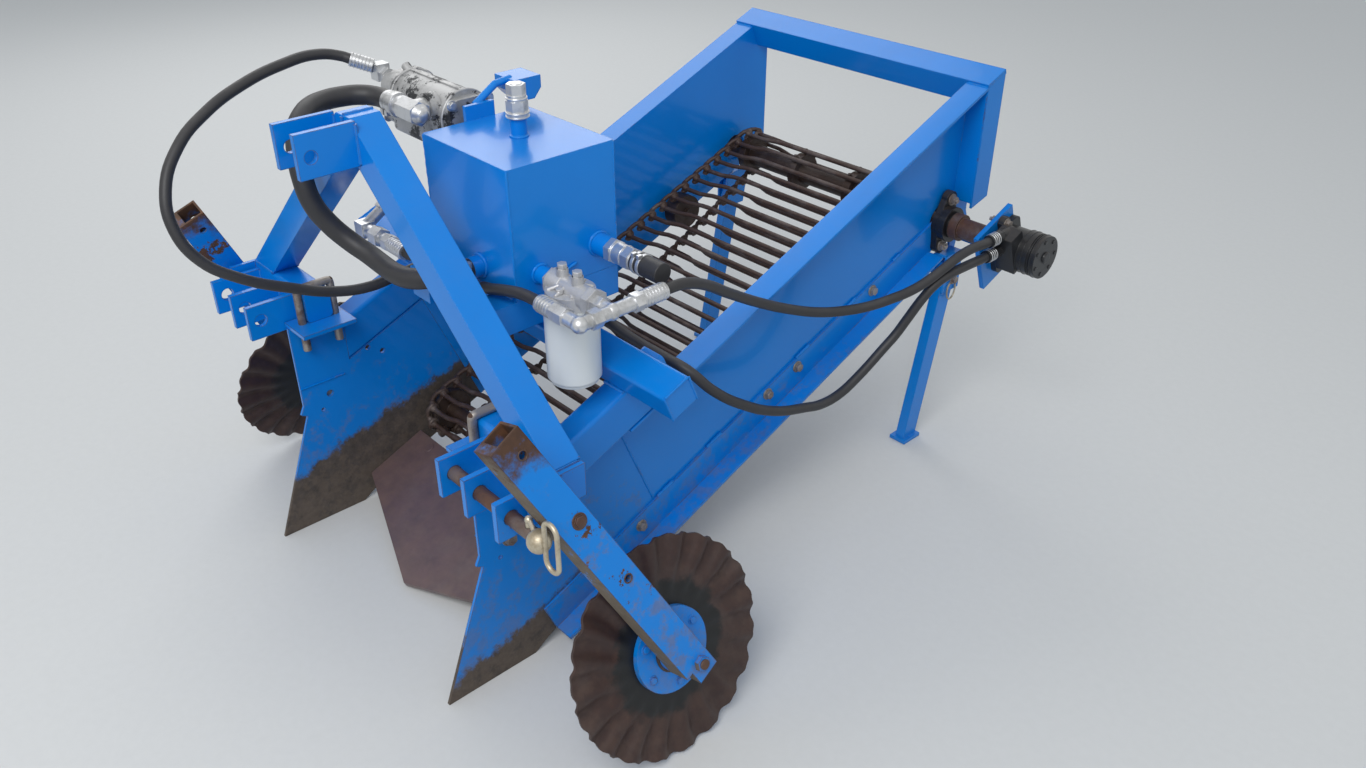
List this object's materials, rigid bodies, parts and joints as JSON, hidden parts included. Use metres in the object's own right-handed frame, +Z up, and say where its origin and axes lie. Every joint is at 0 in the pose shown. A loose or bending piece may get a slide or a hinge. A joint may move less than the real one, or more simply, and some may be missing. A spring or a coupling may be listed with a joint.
{
  "type": "potato digger",
  "caption": "Single-row tractor-mounted potato digger with a rod chain elevator, leaning disc coulters, hydraulic drive, oil tank and three-point hitch, parked on its plates and stands.",
  "frame": {"origin": "ground under the middle of the machine's overall box, hoses not counted", "axes": "+Z up, +Y to the rear end of the elevator, +X to the machine's left side"},
  "size_m": [1.2718, 1.4235, 0.909],
  "materials": {
    "blue_paint": "glossy enamel with chips and rusty edges",
    "worn_steel": "bare steel worn by soil, brown rust",
    "chain_steel": "dark rust on round rods",
    "disc_steel": "dark rusty disc with oily centre",
    "roller_steel": "dark dirty steel",
    "pin_steel": "rusty pin steel",
    "zinc": "bright zinc plating",
    "ivory_zinc": "dull cream zinc plating",
    "black_cast": "black painted casting",
    "black_paint": "satin black paint",
    "cast_aluminium": "matte cast aluminium",
    "white_paint": "satin white enamel",
    "hose_rubber": "matte black rubber hose"
  },
  "bodies": {
    "frame": {"front_plate_left": "blue_paint", "front_plate_right": "blue_paint", "wall_left": "blue_paint", "wall_right": "blue_paint", "rail_left": "blue_paint", "rail_right": "blue_paint", "rear_crossbar": "blue_paint", "side_tube_left": "blue_paint", "side_tube_right": "blue_paint", "cross_beam": "blue_paint", "tank_bar_left": "blue_paint", "tank_bar_right": "blue_paint", "hitch_stub_left": "blue_paint", "hitch_stub_right": "blue_paint", "hitch_ears_left": "blue_paint", "hitch_ears_right": "blue_paint", "clamp_left": "blue_paint", "clamp_right": "blue_paint", "mast_leg_left": "blue_paint", "mast_leg_right": "blue_paint", "top_link_clevis": "blue_paint", "motor_plate": "blue_paint", "oil_tank": "blue_paint", "pump_holder": "blue_paint", "coulter_arm_left": "blue_paint", "coulter_arm_right": "blue_paint", "stand_bracket_left": "blue_paint", "stand_bracket_right": "blue_paint", "share": "worn_steel", "hitch_pin": "pin_steel", "linchpin": "ivory_zinc", "web_chain": "chain_steel", "nose_roller": "roller_steel", "idler_rollers": "roller_steel", "drive_shaft": "roller_steel", "bearing_left": "black_cast", "bearing_right": "black_cast", "motor_coupling": "pin_steel", "motor": "black_paint", "filler_neck": "zinc", "filter_head": "cast_aluminium", "filter_canister": "white_paint", "hose_tee": "zinc", "outlet_elbow": "zinc", "pump": "cast_aluminium", "pump_fittings": "zinc", "spare_coupling": "zinc", "return_hose": "hose_rubber", "pressure_hose": "hose_rubber", "suction_hose": "hose_rubber", "spare_hose": "hose_rubber"},
    "coulter_left": {"coulter_disc_left": "disc_steel", "coulter_hub_left": "blue_paint"},
    "coulter_right": {"coulter_disc_right": "disc_steel", "coulter_hub_right": "blue_paint"},
    "stand_left": {"stand_leg_left": "blue_paint"},
    "stand_right": {"stand_leg_right": "blue_paint"}
  },
  "joints": [
    {"name": "coulter_left_spin", "type": "hinge", "parent": "frame", "child": "coulter_left", "pos_m": [0.553, -0.4369, 0.174], "axis": [0.9563, 0, 0.2924], "continuous": true},
    {"name": "coulter_right_spin", "type": "hinge", "parent": "frame", "child": "coulter_right", "pos_m": [-0.553, -0.4369, 0.174], "axis": [-0.9563, 0, 0.2924], "continuous": true},
    {"name": "stand_left_hinge", "type": "hinge", "parent": "frame", "child": "stand_left", "pos_m": [0.301, 0.5721, 0.372], "axis": [-1, 0, 0], "range_deg": [0, 60]},
    {"name": "stand_right_hinge", "type": "hinge", "parent": "frame", "child": "stand_right", "pos_m": [-0.331, 0.5721, 0.372], "axis": [-1, 0, 0], "range_deg": [0, 60]}
  ]
}
